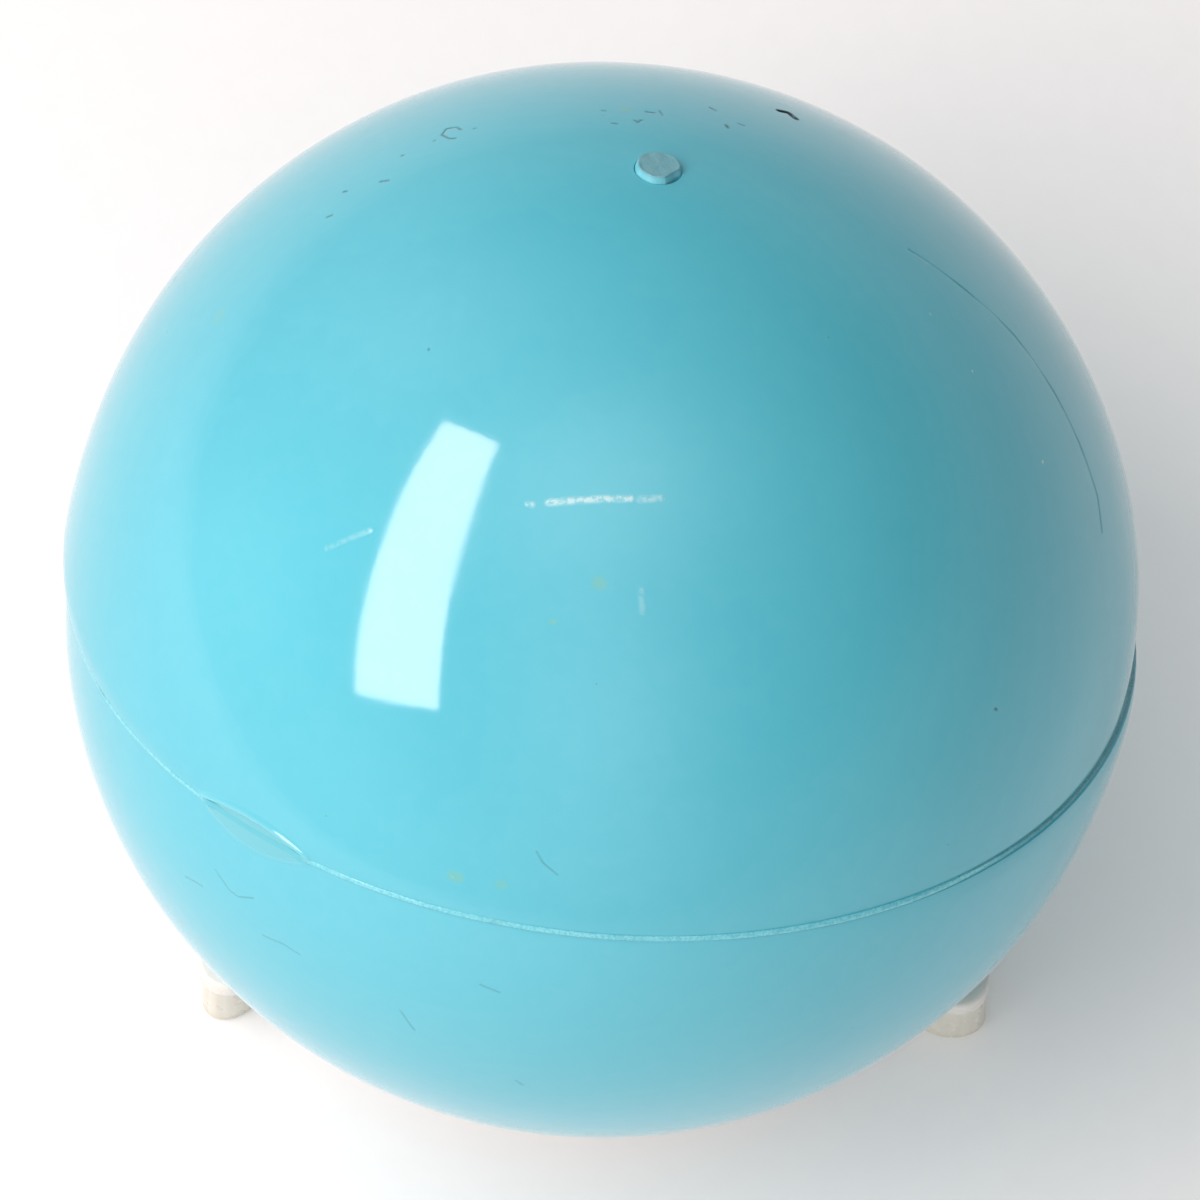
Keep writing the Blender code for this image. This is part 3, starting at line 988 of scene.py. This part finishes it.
def make_lamp():
    width, height = LAMP_SIZE
    data = bpy.data.lights.new("strip_lamp", "AREA")
    data.shape = "RECTANGLE"
    data.size = width
    data.size_y = height
    data.energy = LAMP_RADIANCE * math.pi * width * height
    data.color = LAMP_COLOUR
    lamp = bpy.data.objects.new("strip_lamp", data)
    bpy.context.scene.collection.objects.link(lamp)
    across = LAMP_ACROSS.normalized()
    along = (LAMP_ALONG - across * LAMP_ALONG.dot(across)).normalized()
    if across.cross(along).dot(LAMP_CENTRE - Vector(ball.centre)) < 0:
        across = -across
    axes = Matrix((across, along, across.cross(along))).transposed().to_4x4()
    lamp.matrix_world = Matrix.Translation(LAMP_CENTRE) @ axes


def make_world():
    """Soft surroundings: a broad glow in each of the given directions."""
    world = bpy.data.worlds.new("studio")
    world.use_nodes = True
    tree = world.node_tree
    way = tree.nodes.new("ShaderNodeTexCoord").outputs["Generated"]
    total = None
    for azimuth, elevation, radiance in GLOWS:
        dot = tree.nodes.new("ShaderNodeVectorMath")
        dot.operation = "DOT_PRODUCT"
        dot.inputs[1].default_value = aim(azimuth, elevation)
        tree.links.new(way, dot.inputs[0])
        facing = world_math(tree, "MAXIMUM", dot.outputs["Value"], 0.0)
        glow = world_math(tree, "POWER", facing, GLOW_FOCUS)
        part = world_math(tree, "MULTIPLY", glow, radiance)
        total = part if total is None else world_math(tree, "ADD", total, part)
    level = tree.nodes.new("ShaderNodeSeparateXYZ")
    tree.links.new(way, level.inputs[0])
    band = tree.nodes.new("ShaderNodeMapRange")
    band.interpolation_type = "SMOOTHSTEP"
    tree.links.new(level.outputs["Z"], band.inputs["Value"])
    band.inputs["From Min"].default_value = 0.0
    band.inputs["From Max"].default_value = HORIZON_REACH
    band.inputs["To Min"].default_value = HORIZON_GLOW
    band.inputs["To Max"].default_value = 0.0
    total = world_math(tree, "ADD", total, band.outputs["Result"])
    background = tree.nodes["Background"]
    tree.links.new(total, background.inputs["Color"])
    background.inputs["Strength"].default_value = 1.0
    bpy.context.scene.world = world


def world_math(tree, operation, first, second):
    node = tree.nodes.new("ShaderNodeMath")
    node.operation = operation
    tree.links.new(first, node.inputs[0])
    if isinstance(second, bpy.types.NodeSocket):
        tree.links.new(second, node.inputs[1])
    else:
        node.inputs[1].default_value = second
    return node.outputs[0]


def make_floor():
    """Pale card, lit from within far from the ball, and more so on one side."""
    reach = FLOOR_REACH
    mesh = bpy.data.meshes.new("floor")
    corners = [(-reach, -reach, 0), (reach, -reach, 0), (reach, reach, 0), (-reach, reach, 0)]
    mesh.from_pydata(corners, [], [(0, 1, 2, 3)])
    n = Nodes("floor_card")
    place = n.place()
    grain = n.noise(place, 2 * MM, 2.0)
    n.put(n.shader.inputs["Base Color"], n.mix(grain, (0.80, 0.80, 0.80, 1.0), (0.83, 0.83, 0.83, 1.0)))
    n.shader.inputs["Roughness"].default_value = 0.7
    n.shader.inputs["Emission Color"].default_value = (1.0, 1.0, 1.0, 1.0)
    away = n.add("VectorMath", {0: place}, operation="LENGTH").outputs["Value"]
    ahead = n.add("VectorMath", {0: place, 1: FLOOR_BRIGHT_WAY}, operation="DOT_PRODUCT").outputs["Value"]
    far = n.fade(away, *FLOOR_FAR)
    far_glow = n.math("MULTIPLY", far, n.fade(n.math("DIVIDE", ahead, away), -0.7, 0.7, *FLOOR_FAR_GLOW))
    near_glow = n.math("MULTIPLY", n.math("SUBTRACT", 1.0, far), FLOOR_NEAR_GLOW)
    n.put(n.shader.inputs["Emission Strength"], n.math("ADD", far_glow, near_glow))
    mesh.materials.append(n.material)
    floor = bpy.data.objects.new("floor", mesh)
    bpy.context.scene.collection.objects.link(floor)


rubber = rubber_material()
make_upper_half(rubber)
make_lower_half(rubber)
make_seam(seam_material())
make_plug(plug_material())
stand_plastic = moulded_plastic("stand_plastic", (0.83, 0.79, 0.74), (0.80, 0.76, 0.705), 0.4)
foot_plastic = moulded_plastic("foot_plastic", (0.76, 0.73, 0.65), (0.68, 0.65, 0.56), 0.3)
make_ring(stand_plastic)
for foot in FEET:
    make_foot(foot, foot.replace("_foot", "_post"), foot_plastic)
make_floor()
make_lamp()
make_world()
make_camera()
bpy.context.scene.view_settings.view_transform = "Standard"
